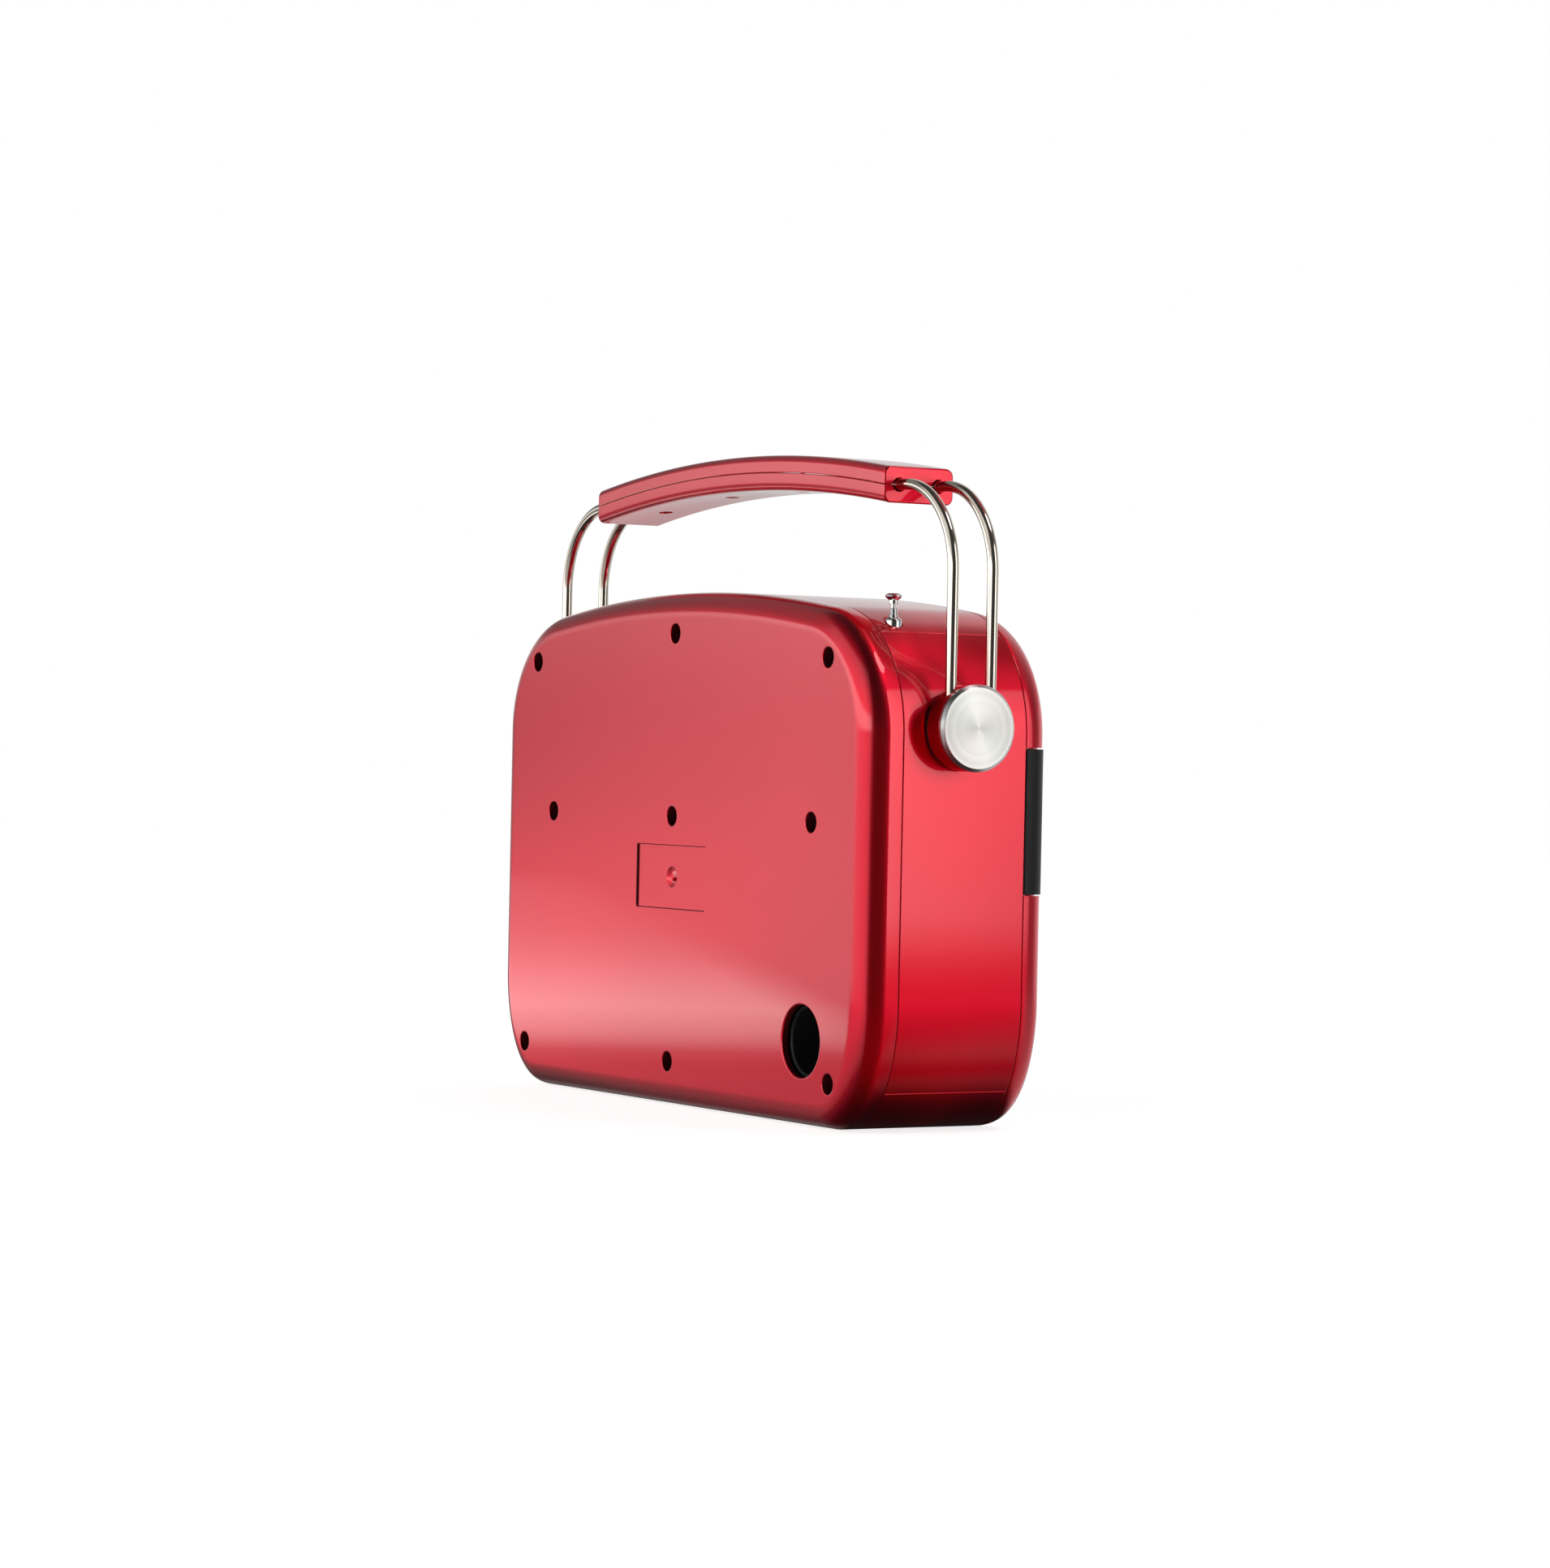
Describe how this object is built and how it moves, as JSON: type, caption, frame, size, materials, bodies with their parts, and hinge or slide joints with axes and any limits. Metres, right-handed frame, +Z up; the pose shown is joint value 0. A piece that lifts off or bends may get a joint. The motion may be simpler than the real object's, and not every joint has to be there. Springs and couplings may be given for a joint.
{
  "type": "portable radio",
  "caption": "Table-size portable radio: arched lacquered cabinet, twin-rod swinging carrying handle, telescopic antenna, front dial and knobs, rear bass port.",
  "frame": {"origin": "middle of the radio's overall box, on the surface its rubber feet stand on", "axes": "+X to the right seen from the front, +Y towards the rear cover, +Z up"},
  "size_m": [0.3682, 0.1066, 0.3006],
  "materials": {
    "red_lacquer": "metallic red lacquer under clear coat",
    "black_satin": "satin black",
    "chrome_trim": "polished chrome",
    "nickel_rod": "warm polished nickel",
    "spun_aluminium": "circular brushed",
    "grille_metal": "satin silver",
    "speaker_fabric": "woven",
    "clear_lens": "clear gloss",
    "scale_card": "printed cream",
    "speaker_steel": "zinc plated",
    "paper_cone": "pressed paper",
    "screw_steel": "zinc plated",
    "rubber_black": "matt",
    "battery_wrap": "shrink sleeve",
    "circuit_board": "solder resist",
    "pot_steel": "plated",
    "capacitor_case": "moulded",
    "ferrite_grey": "sintered",
    "coil_copper": "enamelled wire",
    "button_silver": "satin silver",
    "pointer_red": "gloss"
  },
  "bodies": {
    "cabinet": {"rear_cover": "red_lacquer", "centre_shell": "red_lacquer", "front_bezel": "red_lacquer", "band_panel": "black_satin", "tuning_lamp": "pointer_red", "grille": "grille_metal", "grille_trim": "chrome_trim", "grille_cloth": "speaker_fabric", "scale_lens": "clear_lens", "scale_plate": "scale_card", "chassis": "black_satin", "speaker_frame_left": "speaker_steel", "speaker_cone_left": "paper_cone", "speaker_magnet_left": "speaker_steel", "speaker_frame_right": "speaker_steel", "speaker_cone_right": "paper_cone", "speaker_magnet_right": "speaker_steel", "port_tube": "black_satin", "rear_screws": "screw_steel", "feet": "rubber_black", "battery_box": "black_satin", "battery_pack": "battery_wrap", "main_board": "circuit_board", "volume_pot": "pot_steel", "tuning_capacitor": "capacitor_case", "ferrite_rod": "ferrite_grey", "ferrite_coil": "coil_copper", "dc_jack": "black_satin", "headphone_jack": "black_satin", "antenna_tube": "chrome_trim", "antenna_bracket": "speaker_steel", "pivot_bolts": "screw_steel", "pivot_washers": "rubber_black"},
    "handle": {"hub_boss_left": "red_lacquer", "hub_boss_right": "red_lacquer", "hub_cap_left": "spun_aluminium", "hub_cap_right": "spun_aluminium", "rod_rear_left": "nickel_rod", "rod_front_left": "nickel_rod", "rod_rear_right": "nickel_rod", "rod_front_right": "nickel_rod", "grip_top": "red_lacquer", "grip_bottom": "red_lacquer", "grip_screws": "screw_steel"},
    "antenna_lower": {"antenna_section_1": "chrome_trim"},
    "antenna_middle": {"antenna_section_2": "chrome_trim"},
    "antenna_upper": {"antenna_section_3": "chrome_trim", "antenna_tip": "chrome_trim"},
    "volume": {"volume_knob": "black_satin", "volume_knob_cap": "spun_aluminium", "volume_shaft": "pot_steel"},
    "tuning": {"tuning_knob": "black_satin", "tuning_knob_cap": "spun_aluminium", "tuning_shaft": "pot_steel"},
    "dial_pointer": {"pointer": "pointer_red"},
    "key_1": {"button_1": "button_silver"},
    "key_2": {"button_2": "button_silver"},
    "key_3": {"button_3": "button_silver"},
    "battery_cover": {"battery_door": "red_lacquer"}
  },
  "joints": [
    {"name": "handle_swing", "type": "hinge", "parent": "cabinet", "child": "handle", "pos_m": [0, 0.006, 0.1763], "axis": [1, 0, 0], "range_deg": [-120, 120]},
    {"name": "antenna_slide_1", "type": "slide", "parent": "cabinet", "child": "antenna_lower", "axis": [0, 0, 1], "range_m": [0, 0.135]},
    {"name": "antenna_slide_2", "type": "slide", "parent": "antenna_lower", "child": "antenna_middle", "axis": [0, 0, 1], "range_m": [0, 0.135]},
    {"name": "antenna_slide_3", "type": "slide", "parent": "antenna_middle", "child": "antenna_upper", "axis": [0, 0, 1], "range_m": [0, 0.135]},
    {"name": "volume_turn", "type": "hinge", "parent": "cabinet", "child": "volume", "pos_m": [-0.098, -0.04, 0.1366], "axis": [0, 1, 0], "range_deg": [0, 300]},
    {"name": "tuning_turn", "type": "hinge", "parent": "cabinet", "child": "tuning", "pos_m": [0.098, -0.04, 0.1366], "axis": [0, 1, 0], "range_deg": [-540, 540]},
    {"name": "pointer_slide", "type": "slide", "parent": "cabinet", "child": "dial_pointer", "axis": [1, 0, 0], "range_m": [-0.058, 0.058]},
    {"name": "button_1_press", "type": "slide", "parent": "cabinet", "child": "key_1", "axis": [0, 1, 0], "range_m": [0, 0.0016], "stiffness_N_per_m": 400, "springref_m": -0.001},
    {"name": "button_2_press", "type": "slide", "parent": "cabinet", "child": "key_2", "axis": [0, 1, 0], "range_m": [0, 0.0016], "stiffness_N_per_m": 400, "springref_m": -0.001},
    {"name": "button_3_press", "type": "slide", "parent": "cabinet", "child": "key_3", "axis": [0, 1, 0], "range_m": [0, 0.0016], "stiffness_N_per_m": 400, "springref_m": -0.001},
    {"name": "battery_door_slide", "type": "slide", "parent": "cabinet", "child": "battery_cover", "axis": [1, 0, 0], "range_m": [0, 0.012]}
  ],
  "couplings": [
    {"joint": "pointer_slide", "follows": "tuning_turn", "m_per_rad": 0.006}
  ]
}
